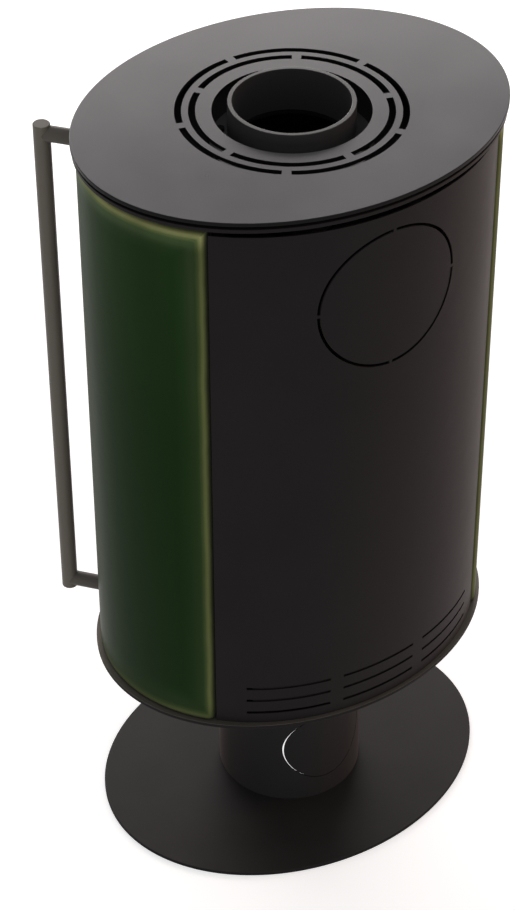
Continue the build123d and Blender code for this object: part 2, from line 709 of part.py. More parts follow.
right_lining = side_lining(1)
left_lining = side_lining(-1)
save(right_lining, "right_lining")
save(left_lining, "left_lining")

with BuildPart() as corner_linings:
    with BuildSketch(Plane.XY.offset(HEARTH)):
        outline_face(
            [
                inner_side,
                (outer_side[0], inner_side[1]),
                outer_side,
                outer_back,
                (inner_back[0], outer_back[1]),
                inner_back,
            ]
        )
        mirror(about=Plane.YZ)
    extrude(amount=LINING_HEIGHT)
save(corner_linings, "corner_linings")

with BuildPart() as hearth_bricks:
    with BuildSketch(Plane.XY.offset(HEARTH)):
        body_plate(lining_in + LINING_FIT, BODY_IN + LINING)
        Rectangle(GRATE_X + 2 * LINING_FIT, GRATE_Y + 2 * LINING_FIT, mode=Mode.SUBTRACT)
        Rectangle(2 * LINING_FIT, FAR, mode=Mode.SUBTRACT)
    extrude(amount=LINING)
save(hearth_bricks, "hearth_bricks")

LOWER_BAFFLE = HEARTH + LINING_HEIGHT

with BuildPart() as lower_baffle:
    with BuildSketch(Plane.XY.offset(LOWER_BAFFLE)):
        body_plate(lining_out, BODY_IN)
        outline_face(plan_box(FAR, BAFFLE_FRONT, FAR), Mode.INTERSECT)
    extrude(amount=LINING)
save(lower_baffle, "lower_baffle")

UPPER_BAFFLE = HEARTH + UPPER_BAFFLE_RISE

with BuildPart() as upper_baffle:
    with BuildSketch(Plane.XY.offset(UPPER_BAFFLE)):
        body_plate(lining_out, BODY_IN + SEAT)
        outline_face(plan_box(FAR, -FAR, UPPER_BAFFLE_BACK), Mode.INTERSECT)
    extrude(amount=BODY_WALL)
save(upper_baffle, "upper_baffle")

with BuildPart() as baffle_rests:
    for side in (-1, 1):
        with BuildSketch(Plane.XY.offset(UPPER_BAFFLE - BODY_WALL)):
            with Locations((side * (BODY_HALF - BODY_WALL - POST_LEG / 2), 0)):
                Rectangle(POST_LEG, BAFFLE_REST_LENGTH)
        extrude(amount=BODY_WALL)
save(baffle_rests, "baffle_rests")

with BuildPart() as grate:
    with BuildSketch(Plane.XY.offset(HEARTH)):
        Rectangle(GRATE_X, GRATE_Y)
        bar_pitch = (GRATE_X - 2 * GRATE_LEDGE - GRATE_BAR) / (GRATE_BARS - 1)
        with GridLocations(bar_pitch, 0, GRATE_BARS - 1, 1):
            SlotOverall(GRATE_Y - 2 * GRATE_LEDGE, bar_pitch - GRATE_BAR, rotation=90, mode=Mode.SUBTRACT)
    extrude(amount=GRATE_THICK)
save(grate, "grate")

with BuildPart() as log_guard:
    with BuildSketch(Plane.XY.offset(HEARTH + LINING)):
        with Locations((0, GUARD_Y)):
            Rectangle(2 * (MOUTH_HALF - LINING), BODY_WALL)
    extrude(amount=GUARD_HEIGHT)
    top_corners = log_guard.edges().filter_by(Axis.Y).group_by(Axis.Z)[-1]
    fillet(top_corners, MOUTH_ROUND)
    with BuildSketch(seen_from_front(HEARTH + LINING + GUARD_HEIGHT / 2)):
        with GridLocations(MOUTH_HALF / 2, 0, 3, 1):
            SlotOverall(MOUTH_HALF / 3, MOUTH_ROUND)
    extrude(amount=FAR, mode=Mode.SUBTRACT)
save(log_guard, "log_guard")

# ---------------------------------------------------------------- heat shield
with BuildPart() as rear_heat_shield:
    behind = plan_box(SHIELD_HALF, 0, FAR)
    add(curved_band(BASE_TOP, BODY_TOP - BASE_TOP, SHIELD_IN, SHIELD_IN + SHIELD_THICK, behind))
    with BuildSketch(seen_from_back(FLUE_CUT_Z)):
        Circle(SHIELD_HOLE_R)
    extrude(amount=FAR, mode=Mode.SUBTRACT)
save(rear_heat_shield, "rear_heat_shield")

with BuildPart() as shield_spacers:
    with BuildSketch(seen_from_back((BASE_TOP + FLUE_CUT_Z) / 2).offset(BODY_BACK)):
        with GridLocations(2 * SHIELD_SPACER_X, FLUE_CUT_Z - BASE_TOP - 3 * SHIELD_HOLE_R, 2, 2):
            Circle(SPACER_R)
    extrude(amount=FAR)
    with BuildSketch(Plane.XY.offset(BASE_TOP)):
        oval(SHIELD_IN + SHIELD_THICK)
    extrude(amount=BODY_TOP - BASE_TOP, mode=Mode.INTERSECT)
save(shield_spacers, "shield_spacers")

# ================================================================ combustion air
with BuildPart() as air_box:
    with BuildSketch(Plane.XY.offset(BASE_TOP)):
        outline_face(plan_box(BOX_HALF, BOX_FRONT, BOX_BACK))
    extrude(amount=BOX_HEIGHT)
    with BuildSketch(Plane.XY.offset(BASE_TOP)):
        outline_face(plan_box(BOX_HALF - BOX_SHEET, BOX_FRONT + BOX_SHEET, BOX_BACK - BOX_SHEET))
    extrude(amount=BOX_HEIGHT - BOX_SHEET, mode=Mode.SUBTRACT)
    with BuildSketch(Plane.XY.offset(BASE_TOP)):
        with Locations((0, SPINDLE_Y + PORT_REACH)):
            Circle(PORT_R)
    extrude(amount=BOX_HEIGHT, mode=Mode.SUBTRACT)
    with BuildSketch(Plane.XY.offset(BOX_TOP)):
        for side in (-1, 1):
            with Locations((side * (BOX_HALF - BOX_SHEET / 2), (BOX_FRONT + BOX_BACK) / 2)):
                Rectangle(BOX_SHEET, BOX_BACK - BOX_FRONT)
    extrude(amount=GUIDE_HEIGHT)
save(air_box, "air_box")

with BuildPart() as air_risers:
    with BuildSketch(Plane.XY.offset(HEARTH)):
        with Locations(*riser_places):
            Rectangle(RISER_WIDTH, RISER_DEPTH)
            Rectangle(RISER_WIDTH - 2 * RISER_WALL, RISER_DEPTH - 2 * RISER_WALL, mode=Mode.SUBTRACT)
    extrude(amount=UPPER_BAFFLE - BODY_WALL - RAIL_HEIGHT - HEARTH)
save(air_risers, "air_risers")

with BuildPart() as air_wash_rail:
    rail_bottom = UPPER_BAFFLE - BODY_WALL - RAIL_HEIGHT
    rail_half = RISER_X + RISER_WIDTH / 2
    add(curved_band(rail_bottom, RAIL_HEIGHT, BODY_IN, RAIL_BACK, front_box(rail_half)))
    channel = curved_band(
        rail_bottom - BOX_SHEET,
        RAIL_HEIGHT,
        BODY_IN + BOX_SHEET,
        RAIL_BACK - BOX_SHEET,
        front_box(rail_half - BOX_SHEET),
    )
    add(channel, mode=Mode.SUBTRACT)
save(air_wash_rail, "air_wash_rail")

SHUTTER_TOP = BOX_TOP - BOX_SHEET - SEAT
LEVER_TOP = BASE_BOTTOM - LEVER_DROP
LEVER_BOTTOM = LEVER_TOP - LEVER_THICK

with BuildPart() as air_shutter:
    blade_half = degrees(asin(PORT_R / PORT_REACH)) + BOX_SHEET
    with BuildSketch(Plane.XY.offset(SHUTTER_TOP - SHUTTER_THICK)):
        with Locations((0, SPINDLE_Y)):
            Circle(SHUTTER_R)
        low = radians(90 - blade_half)
        high = radians(90 + SHUTTER_TURN + blade_half)
        blade = [
            (0, SPINDLE_Y),
            (FAR * cos(low), SPINDLE_Y + FAR * sin(low)),
            (FAR * cos(high), SPINDLE_Y + FAR * sin(high)),
        ]
        outline_face(blade, Mode.INTERSECT)
        with Locations((0, SPINDLE_Y)):
            Circle(SPINDLE_HUB_R + LEVER_THICK)
            Circle(SPINDLE_R + RUN, mode=Mode.SUBTRACT)
            with PolarLocations(PORT_REACH, 1, start_angle=90 + SHUTTER_TURN):
                Circle(PORT_R, mode=Mode.SUBTRACT)
    extrude(amount=SHUTTER_THICK)
save(air_shutter, "air_shutter")

with BuildPart() as air_spindle:
    for radius, bottom, top in (
        (SPINDLE_R, LEVER_BOTTOM - NUT_HEIGHT, SHUTTER_TOP),
        (SPINDLE_HUB_R, BASE_TOP + SEAT, SHUTTER_TOP - SHUTTER_THICK),
        (SPINDLE_HUB_R, LEVER_BOTTOM - NUT_HEIGHT, LEVER_BOTTOM),
    ):
        with BuildSketch(Plane.XY.offset(bottom)):
            with Locations((0, SPINDLE_Y)):
                Circle(radius)
        extrude(amount=top - bottom)
save(air_spindle, "air_spindle")

with BuildPart() as air_lever:
    with BuildSketch(Plane.XY.offset(LEVER_BOTTOM)):
        with Locations((0, SPINDLE_Y - LEVER_REACH / 2)):
            SlotCenterToCenter(LEVER_REACH - LEVER_WIDTH, LEVER_WIDTH, rotation=90)
            with Locations((0, -LEVER_WIDTH / 2)):
                Rectangle(LEVER_WIDTH, LEVER_REACH - LEVER_WIDTH)
        with Locations((0, SPINDLE_Y)):
            Circle(SPINDLE_HUB_R + LEVER_THICK)
            Circle(SPINDLE_R + RUN, mode=Mode.SUBTRACT)
    extrude(amount=LEVER_THICK)
    with BuildSketch(Plane.XY.offset(LEVER_BOTTOM)):
        with Locations((0, SPINDLE_Y - LEVER_REACH + LEVER_THICK / 2)):
            Rectangle(LEVER_WIDTH, LEVER_THICK)
    extrude(amount=-LEVER_TAB)
save(air_lever, "air_lever")

# ================================================================ ash pan
PAN_BOTTOM = BOX_TOP + SEAT

with BuildPart() as ash_pan:
    with BuildSketch(Plane.XY.offset(PAN_BOTTOM)):
        outline_face(plan_box(PAN_HALF, PAN_FRONT, PAN_BACK))
    extrude(amount=PAN_HEIGHT)
    with BuildSketch(Plane.XY.offset(PAN_BOTTOM + PAN_SHEET)):
        outline_face(plan_box(PAN_HALF - PAN_SHEET, PAN_FRONT + PAN_SHEET, PAN_BACK - PAN_SHEET))
    extrude(amount=PAN_HEIGHT, mode=Mode.SUBTRACT)
save(ash_pan, "ash_pan")

with BuildPart() as ash_pan_handle:
    grip_z = PAN_BOTTOM + PAN_HEIGHT - PAN_GRIP_OUT
    with BuildLine(Plane.XY.offset(grip_z)):
        FilletPolyline(
            (-PAN_GRIP_HALF, PAN_FRONT),
            (-PAN_GRIP_HALF, PAN_FRONT - PAN_GRIP_OUT),
            (PAN_GRIP_HALF, PAN_FRONT - PAN_GRIP_OUT),
            (PAN_GRIP_HALF, PAN_FRONT),
            radius=2 * PAN_GRIP_R,
        )
    with BuildSketch(Plane(origin=(-PAN_GRIP_HALF, PAN_FRONT, grip_z), z_dir=(0, -1, 0))):
        Circle(PAN_GRIP_R)
    sweep()
save(ash_pan_handle, "ash_pan_handle")

# ================================================================ door
door_outline = steel_sector(-1, DOOR_JOINT / 2)
frame_outline = steel_sector(-1, DOOR_JOINT / 2 + DOOR_FRAME_IN)
window_middle = WINDOW_SILL + WINDOW_HEIGHT / 2
glass_half = WINDOW_HALF + GLASS_LAP
opening_half = glass_half + GLASS_EDGE

with BuildPart() as door_skin:
    add(curved_band(CASING_BOTTOM, CASING_HEIGHT, 0, SKIN, door_outline))
    for side in (-1, 1):
        flange = corner_strip(side, -1, DOOR_JOINT / 2, DOOR_JOINT / 2 + SKIN)
        add(curved_band(CASING_BOTTOM, CASING_HEIGHT, 0, SKIN_FLANGE, flange))
    upright = door_skin.edges().filter_by(Axis.Z)
    fillet(upright.sort_by(lambda edge: hypot(edge.center().X, edge.center().Y))[-2:], SKIN_BEND)
    with BuildSketch(seen_from_front(window_middle)):
        RectangleRounded(2 * WINDOW_HALF, WINDOW_HEIGHT, WINDOW_ROUND)
    extrude(amount=FAR, mode=Mode.SUBTRACT)
save(door_skin, "door_skin")

FRAME_BOTTOM = CASING_BOTTOM + DOOR_FRAME_RISE
FRAME_TOP = CASING_TOP - DOOR_FRAME_RISE
GLASS_BOTTOM = WINDOW_SILL - GLASS_LAP
GLASS_TOP = WINDOW_SILL + WINDOW_HEIGHT + GLASS_LAP
frame_windows = (
    (FRAME_BOTTOM + RAIL_WIDTH, GLASS_BOTTOM - GLASS_EDGE - RAIL_WIDTH),
    (GLASS_BOTTOM - GLASS_EDGE, GLASS_TOP + GLASS_EDGE),
    (GLASS_TOP + GLASS_EDGE + RAIL_WIDTH, FRAME_TOP - RAIL_WIDTH),
)

with BuildPart() as door_frame:
    add(curved_band(FRAME_BOTTOM, FRAME_TOP - FRAME_BOTTOM, SKIN, DOOR_DEPTH, frame_outline))
    for low, high in frame_windows:
        with BuildSketch(seen_from_front((low + high) / 2)):
            Rectangle(2 * opening_half, high - low)
        extrude(amount=FAR, mode=Mode.SUBTRACT)
    # The rails and the middle of the stiles are open channels towards the skin.
    rail_hollow = RAIL_WIDTH - 2 * FRAME_WALL
    rails = [low - RAIL_WIDTH + FRAME_WALL for low, high in frame_windows]
    rails.append(frame_windows[-1][1] + FRAME_WALL)
    for rail in rails:
        rail_region = front_box(opening_half - RAIL_WIDTH)
        hollow = curved_band(rail, rail_hollow, 0, DOOR_DEPTH - FRAME_WALL, rail_region)
        add(hollow, mode=Mode.SUBTRACT)
    for bush_bottom in (FRAME_BOTTOM, FRAME_TOP - BUSH_HEIGHT):
        with BuildSketch(Plane.XY.offset(bush_bottom)):
            with Locations(hinge_place):
                Circle(BUSH_R + RUN)
        extrude(amount=BUSH_HEIGHT, mode=Mode.SUBTRACT)
save(door_frame, "door_frame")

with BuildPart() as hinge_bushes:
    for bush_bottom in (FRAME_BOTTOM, FRAME_TOP - BUSH_HEIGHT):
        with BuildSketch(Plane.XY.offset(bush_bottom)):
            with Locations(hinge_place):
                Circle(BUSH_R)
                Circle(PIN_R + RUN, mode=Mode.SUBTRACT)
        extrude(amount=BUSH_HEIGHT)
save(hinge_bushes, "hinge_bushes")

with BuildPart() as hinge_pins:
    for radius, bottom, top in (
        (PIN_R, BASE_BOTTOM, FRAME_BOTTOM + BUSH_HEIGHT - SEAT),
        (PIN_SHOULDER_R, BASE_TOP, FRAME_BOTTOM - SEAT),
        (PIN_R, FRAME_TOP - BUSH_HEIGHT + SEAT, RING_TOP),
        (PIN_SHOULDER_R, FRAME_TOP + SEAT, RING_BOTTOM),
    ):
        with BuildSketch(Plane.XY.offset(bottom)):
            with Locations(hinge_place):
                Circle(radius)
        extrude(amount=top - bottom)
save(hinge_pins, "hinge_pins")


def window_ring(front, back, half, margin, width):
    """Flat-cornered ring round the window, margin beyond the sight edge and width wide."""
    with BuildPart() as ring:
        low = WINDOW_SILL - margin
        high = WINDOW_SILL + WINDOW_HEIGHT + margin
        add(curved_band(low, high - low, front, back, front_box(half + margin)))
        hole_region = front_box(half + margin - width)
        hole_height = high - low - 2 * width
        hole = curved_band(low + width, hole_height, front - OVERCUT, back + OVERCUT, hole_region)
        add(hole, mode=Mode.SUBTRACT)
    return ring


glass_seal = window_ring(SKIN + SKIM, SKIN + SEAL_THICK, WINDOW_HALF, GLASS_LAP, SEAL_WIDTH)
save(glass_seal, "glass_seal")

with BuildPart() as door_glass:
    glass_in = SKIN + SEAL_THICK + SKIM
    pane = front_box(glass_half)
    add(curved_band(GLASS_BOTTOM, GLASS_TOP - GLASS_BOTTOM, glass_in, glass_in + GLASS_THICK, pane))
save(door_glass, "door_glass")

with BuildPart() as glass_clips:
    clip_in = SKIN + SEAL_THICK + GLASS_THICK + 2 * SKIM
    for level in (WINDOW_SILL + CLIP_HEIGHT, window_middle, WINDOW_SILL + WINDOW_HEIGHT - CLIP_HEIGHT):
        for side in (-1, 1):
            inner_x = side * (WINDOW_HALF + GLASS_LAP / 4)
            outer_x = side * opening_half
            reach = [(inner_x, 0), (outer_x, 0), (outer_x, -FAR), (inner_x, -FAR)]
            add(curved_band(level - CLIP_HEIGHT / 2, CLIP_HEIGHT, clip_in, clip_in + CLIP_THICK, reach))
save(glass_clips, "glass_clips")

with BuildPart() as door_rope:
    rope_bottom = CASING_BOTTOM + ROPE_INSET
    rope_top = BODY_TOP - ROPE_INSET / 3
    rope_back = FRONT_IN - SEAT
    add(curved_band(rope_bottom, rope_top - rope_bottom, DOOR_DEPTH, rope_back, front_box(ROPE_HALF)))
    inside = curved_band(
        rope_bottom + ROPE_WIDTH,
        rope_top - rope_bottom - 2 * ROPE_WIDTH,
        DOOR_DEPTH - OVERCUT,
        rope_back + OVERCUT,
        front_box(ROPE_HALF - ROPE_WIDTH),
    )
    add(inside, mode=Mode.SUBTRACT)
save(door_rope, "door_rope")

# ---------------------------------------------------------------- handle
handle_nx, handle_ny = face_normal(HANDLE_X)
handle_foot = Vector(HANDLE_X, -oval_y(HANDLE_X), 0)
handle_out = Vector(handle_nx, -handle_ny, 0)
handle_axis = handle_foot + handle_out * HANDLE_REACH
HANDLE_LOW = CASING_BOTTOM + HANDLE_BOTTOM
arm_levels = (HANDLE_LOW + HANDLE_ARM_INSET, HANDLE_LOW + HANDLE_LENGTH - HANDLE_ARM_INSET)

with BuildPart() as handle_bar:
    with BuildSketch(Plane.XY.offset(HANDLE_LOW)):
        with Locations((handle_axis.X, handle_axis.Y)):
            Circle(HANDLE_R)
    extrude(amount=HANDLE_LENGTH)
    chamfer(handle_bar.edges().filter_by(GeomType.CIRCLE), PLATE_EDGE)
save(handle_bar, "handle_bar")

with BuildPart() as handle_arms:
    for level in arm_levels:
        start = handle_axis + Vector(0, 0, level)
        with BuildSketch(Plane(origin=start, z_dir=-handle_out)):
            Circle(HANDLE_ARM_R)
        extrude(amount=HANDLE_REACH + HANDLE_ARM_R)
    with BuildSketch(Plane.XY.offset(HANDLE_LOW)):
        with Locations((handle_axis.X, handle_axis.Y)):
            Circle(HANDLE_R)
    extrude(amount=HANDLE_LENGTH, mode=Mode.SUBTRACT)
    with BuildSketch(Plane.XY.offset(HANDLE_LOW)):
        oval(0)
    extrude(amount=HANDLE_LENGTH, mode=Mode.SUBTRACT)
save(handle_arms, "handle_arms")

# ================================================================ catch
STRIKER_TOP = CASING_BOTTOM + CATCH_RISE
ROLLER_Z = STRIKER_TOP + NOSE + SEAT + ROLLER_R
PLUNGER_BOTTOM = ROLLER_Z + ROLLER_R + SEAT
striker_front = -oval_y(STRIKER_X, SKIN)

with BuildPart() as door_striker:
    with BuildSketch(Plane.YZ.offset(STRIKER_X - STRIKER_THICK / 2)):
        nose_y = ROLLER_Y + ROLLER_R
        outline_face(
            [
                (striker_front, STRIKER_TOP - STRIKER_HEIGHT),
                (STRIKER_BACK, STRIKER_TOP - STRIKER_HEIGHT),
                (STRIKER_BACK, STRIKER_TOP),
                (nose_y, STRIKER_TOP + NOSE),
                (nose_y - NOSE, STRIKER_TOP),
                (striker_front, STRIKER_TOP),
            ]
        )
    extrude(amount=STRIKER_THICK)
    # The foot is cut to the slanted end of the door frame, where it is welded on.
    foot = curved_band(STRIKER_TOP - STRIKER_HEIGHT, STRIKER_HEIGHT, -SKIN, DOOR_DEPTH, frame_outline)
    add(foot, mode=Mode.SUBTRACT)
save(door_striker, "door_striker")

with BuildPart() as catch_roller:
    with BuildSketch(Plane.YZ.offset(STRIKER_X - STRIKER_THICK / 2)):
        with Locations((ROLLER_Y, ROLLER_Z)):
            Circle(ROLLER_R)
            Circle(AXLE_R + RUN, mode=Mode.SUBTRACT)
    extrude(amount=STRIKER_THICK)
save(catch_roller, "catch_roller")

with BuildPart() as catch_plunger:
    fork_half = STRIKER_THICK / 2 + SEAT + EAR
    with BuildSketch(Plane.YZ.offset(STRIKER_X - fork_half)):
        with Locations((ROLLER_Y, ROLLER_Z)):
            Circle(PLUNGER_R)
            with Locations((0, (ROLLER_R + SEAT) / 2)):
                Rectangle(2 * PLUNGER_R, ROLLER_R + SEAT)
    extrude(amount=2 * fork_half)
    with BuildSketch(Plane.YZ.offset(STRIKER_X - STRIKER_THICK / 2 - SEAT)):
        with Locations((ROLLER_Y, ROLLER_Z)):
            Rectangle(4 * PLUNGER_R, 2 * (ROLLER_R + SEAT))
    extrude(amount=STRIKER_THICK + 2 * SEAT, mode=Mode.SUBTRACT)
    with BuildSketch(Plane.YZ.offset(STRIKER_X - fork_half)):
        with Locations((ROLLER_Y, ROLLER_Z)):
            Circle(AXLE_R)
    extrude(amount=2 * fork_half)
    with BuildSketch(Plane.XY.offset(PLUNGER_BOTTOM)):
        with Locations((STRIKER_X, ROLLER_Y)):
            Rectangle(2 * fork_half, 2 * PLUNGER_R)
    extrude(amount=EAR)
    with BuildSketch(Plane.XY.offset(PLUNGER_BOTTOM)):
        with Locations((STRIKER_X, ROLLER_Y)):
            Circle(PLUNGER_R)
    extrude(amount=PLUNGER_LENGTH)
save(catch_plunger, "catch_plunger")

with BuildPart() as catch_housing:
    housing_bottom = PLUNGER_BOTTOM + HOUSING_LIFT
    housing_out = STRIKER_X + 2 * PLUNGER_R
    with BuildSketch(Plane.XY.offset(housing_bottom)):
        with Locations(((BODY_HALF + housing_out) / 2, ROLLER_Y)):
            Rectangle(housing_out - BODY_HALF, 4 * PLUNGER_R)
    extrude(amount=HOUSING_HEIGHT)
    with BuildSketch(Plane.XY.offset(housing_bottom)):
        with Locations((STRIKER_X, ROLLER_Y)):
            Circle(PLUNGER_R + RUN)
    extrude(amount=HOUSING_HEIGHT - EAR, mode=Mode.SUBTRACT)
save(catch_housing, "catch_housing")
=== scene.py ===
"""Looks of the oval tiled stove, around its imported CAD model. Lengths are in metres."""

import json
from math import cos, pi, radians, sin

import bpy
from mathutils import Matrix, Vector


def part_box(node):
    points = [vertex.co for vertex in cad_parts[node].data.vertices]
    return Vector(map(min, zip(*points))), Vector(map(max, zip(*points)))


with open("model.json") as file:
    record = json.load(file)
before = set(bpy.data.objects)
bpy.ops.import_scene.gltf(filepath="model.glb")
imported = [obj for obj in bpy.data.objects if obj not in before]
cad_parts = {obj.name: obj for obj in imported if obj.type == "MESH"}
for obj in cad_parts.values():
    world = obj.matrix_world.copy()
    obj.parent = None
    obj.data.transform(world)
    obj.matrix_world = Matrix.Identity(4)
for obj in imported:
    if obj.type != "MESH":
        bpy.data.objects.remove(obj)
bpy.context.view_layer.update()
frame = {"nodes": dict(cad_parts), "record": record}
nodes = frame["nodes"]
scene = bpy.context.scene
scene.view_settings.view_transform = "Standard"

# ---------------------------------------------------------------- camera
# Fitted to the photo's edges. The lens and its sensor are in millimetres.
AZIMUTH, ELEVATION, ROLL = radians(147.339), radians(39.281), radians(-0.272)
CAMERA_PLACE = Vector((1.49389, 2.25520, 2.74617))
LENS, SENSOR = 108.457, 36.0
CLIP_END = 60.0  # past the far edge of the floor

back = Vector((sin(AZIMUTH) * cos(ELEVATION), -cos(AZIMUTH) * cos(ELEVATION), sin(ELEVATION)))
level = Vector((cos(AZIMUTH), sin(AZIMUTH), 0))
upright = back.cross(level)
right = level * cos(ROLL) + upright * sin(ROLL)
up = upright * cos(ROLL) - level * sin(ROLL)

lens = bpy.data.cameras.new("camera")
lens.lens = LENS
lens.sensor_width = SENSOR
lens.clip_end = CLIP_END
camera = bpy.data.objects.new("camera", lens)
turn = Matrix((right, up, back)).transposed()
camera.matrix_world = Matrix.Translation(CAMERA_PLACE) @ turn.to_4x4()
scene.collection.objects.link(camera)
scene.camera = camera


# ---------------------------------------------------------------- node helpers
def rgb(colour):
    """An sRGB colour of three values from 0 to 255, as a linear colour."""
    shares = [value / 255 for value in colour]
    return tuple(v / 12.92 if v <= 0.04045 else ((v + 0.055) / 1.055) ** 2.4 for v in shares)


def rgba(colour):
    return (*rgb(colour), 1)


class Nodes:
    """Adds nodes to a tree and links them by the names of their sockets.

    In a keyword, an underscore stands for a space, and _0, _1 and so on pick a socket by number.
    """

    def __init__(self, tree):
        self.tree = tree

    def put(self, made, key, value):
        """Gives one input of a node a value, or links it to another node's output."""
        socket = made.inputs[int(key[1:]) if key[0] == "_" else key.replace("_", " ")]
        if isinstance(value, bpy.types.NodeSocket):
            self.tree.links.new(value, socket)
        else:
            socket.default_value = value

    def node(self, kind, settings=None, **inputs):
        made = self.tree.nodes.new("ShaderNode" + kind)
        for key, value in (settings or {}).items():
            setattr(made, key, value)
        for key, value in inputs.items():
            self.put(made, key, value)
        return made

    def place(self):
        return self.node("TexCoord").outputs["Object"]

    def split(self, vector):
        """The X, Y and Z of a vector."""
        return self.node("SeparateXYZ", Vector=vector).outputs

    def scaled(self, vector, scale):
        return self.node("Mapping", Vector=vector, Scale=scale).outputs[0]

    def noise(self, vector, scale, detail=3.0, rough=0.55):
        made = self.node("TexNoise", Vector=vector, Scale=scale, Detail=detail, Roughness=rough)
        return made.outputs[0]

    def math(self, operation, *values, clamp=False):
        made = self.node("Math", {"operation": operation, "use_clamp": clamp})
        for i, value in enumerate(values):
            self.put(made, f"_{i}", value)
        return made.outputs[0]

    def around(self, middle, value, spread):
        """The middle plus or minus half the spread, for a value from 0 to 1."""
        return self.math("ADD", self.math("MULTIPLY", value, spread), middle - spread / 2)

    def fade(self, value, low, high, to_low=0.0, to_high=1.0):
        """A smooth step from to_low to to_high, as the value goes from low to high."""
        limits = {"From_Min": low, "From_Max": high, "To_Min": to_low, "To_Max": to_high}
        made = self.node("MapRange", {"interpolation_type": "SMOOTHSTEP"}, Value=value, **limits)
        return made.outputs[0]

    def mix(self, share, low, high, blend="MIX"):
        made = self.node("Mix", {"data_type": "RGBA", "blend_type": blend}, _0=share)
        self.put(made, "_6", low)
        self.put(made, "_7", high)
        return made.outputs[2]

    def ramp(self, value, *stops):
        """Colours along a value, from stops of a spot and an sRGB colour."""
        made = self.node("ValToRGB", Fac=value)
        for i, (spot, colour) in enumerate(stops):
            stop = made.color_ramp.elements[i] if i < 2 else made.color_ramp.elements.new(spot)
            stop.position = spot
            stop.color = rgba(colour)
        return made.outputs[0]

    def tones(self, value, low, high, span=(0.3, 0.7)):
        """Goes from one sRGB colour to another over the usual span of a noise."""
        return self.ramp(value, (span[0], low), (span[1], high))

    def bump(self, height, strength, distance):
        return self.node("Bump", Height=height, Strength=strength, Distance=distance).outputs[0]

    def shows_white(self):
        """1 on the rays that see the white background, and 0 on those that light the object."""
        rays = self.node("LightPath").outputs
        seen = self.math("MAXIMUM", rays["Is Camera Ray"], rays["Is Glossy Ray"])
        return self.math("MAXIMUM", seen, rays["Is Transmission Ray"])


finishes = {}  # every material by its name


class Shader(Nodes):
    """A new material, and the nodes that lead to its Principled BSDF."""

    def __init__(self, name, **inputs):
        self.material = finishes[name] = bpy.data.materials.new(name)
        self.material.use_nodes = True
        super().__init__(self.material.node_tree)
        self.surface = self.tree.nodes["Principled BSDF"]
        self.set(**inputs)

    def set(self, **inputs):
        for key, value in inputs.items():
            self.put(self.surface, key, value)


# ---------------------------------------------------------------- painted steel
PAINT_CLOUD = 9.0  # noise scale of the paint's uneven tone
PAINT_GRAIN = 1100.0  # noise scale of its pinhead texture
PAINT_DEPTH = 0.00012  # height of that texture
GLOSS_SPREAD = 0.1  # how far the paint's roughness varies
CLOUD_SHARE, GRAIN_SHARE = 0.6, 0.4  # parts of the tone that follow each noise
WARM_SHEEN = (1.0, 0.78, 0.72, 1)
EDGE_TILT, FLAT_TILT = 0.7, 0.97  # a face turns from edge to flat between these normal Zs


def paint(s, rough, grit_height, grain=PAINT_GRAIN):
    """Gives a paint its uneven gloss and pinhead texture, and returns the two noises."""
    place = s.place()
    cloud = s.noise(place, scale=PAINT_CLOUD, detail=4.0)
    grit = s.noise(place, scale=grain, detail=2.0)
    s.set(
        Roughness=s.around(rough, cloud, GLOSS_SPREAD),
        Normal=s.bump(grit, grit_height, PAINT_DEPTH),
    )
    return cloud, grit


def powder_coat(
    name, low, high, rough, gloss, grit_height=0.25, grain=PAINT_GRAIN, metallic=0.0, sheen=0.0
):
    """Fine-textured stove paint with slightly varied tone and gloss, warm at a grazing angle."""
    s = Shader(name, Specular_IOR_Level=gloss, Metallic=metallic)
    s.set(Sheen_Weight=sheen, Sheen_Roughness=0.4, Sheen_Tint=WARM_SHEEN)
    cloud, grit = paint(s, rough, grit_height, grain)
    tone = s.math(
        "ADD", s.math("MULTIPLY", cloud, CLOUD_SHARE), s.math("MULTIPLY", grit, GRAIN_SHARE)
    )
    s.set(Base_Color=s.tones(tone, low, high))


def plate_coat(name, low, high, edge, rough, metallic=0.9):
    """Satin coat of a plate, one paint split by facing: metallic and lighter on the flat faces,
    which paints light on them, and dull and dark round the cut edges, which paints shade there.
    """
    s = Shader(name, Specular_IOR_Level=0.03)
    cloud, _ = paint(s, rough, grit_height=0.05)
    facing = s.split(s.node("TexCoord").outputs["Normal"])[2]
    flat = s.fade(s.math("ABSOLUTE", facing), EDGE_TILT, FLAT_TILT)
    s.set(
        Base_Color=s.mix(flat, rgba(edge), s.tones(cloud, low, high)),
        Metallic=s.math("MULTIPLY", flat, metallic),
    )


powder_coat("steel_black", (22, 20, 21), (27, 25, 26), rough=0.5, gloss=0.04, sheen=0.085)
# a lighter copy of the body paint for the pedestal: painted light on the column
powder_coat("lit_pedestal_steel", (31, 31, 31), (37, 36, 36), rough=0.5, gloss=0.04, sheen=0.1)
# a darker copy of the inner paint for parts seen only through the top's gaps: painted shade
powder_coat("shaded_inner_steel", (19, 18, 18), (24, 23, 23), rough=0.7, gloss=0.03)
# the handle's paint, darker on its arms: painted shade
powder_coat("shaded_arm_steel", (73, 70, 65), (79, 75, 70), rough=0.42, gloss=0.12, grit_height=0.12)
powder_coat("handle_steel", (88, 84, 77), (96, 90, 83), rough=0.42, gloss=0.12, grit_height=0.12)
powder_coat(
    "inner_steel",
    (38, 36, 35),
    (52, 49, 47),
    rough=0.62,
    gloss=0.2,
    grit_height=0.3,
    grain=700.0,
    metallic=0.2,
)

# the top plate: painted light on its flat faces, painted shade on its edges
plate_coat("steel_top", (60, 59, 60), (64, 63, 64), edge=(22, 21, 21), rough=0.3)
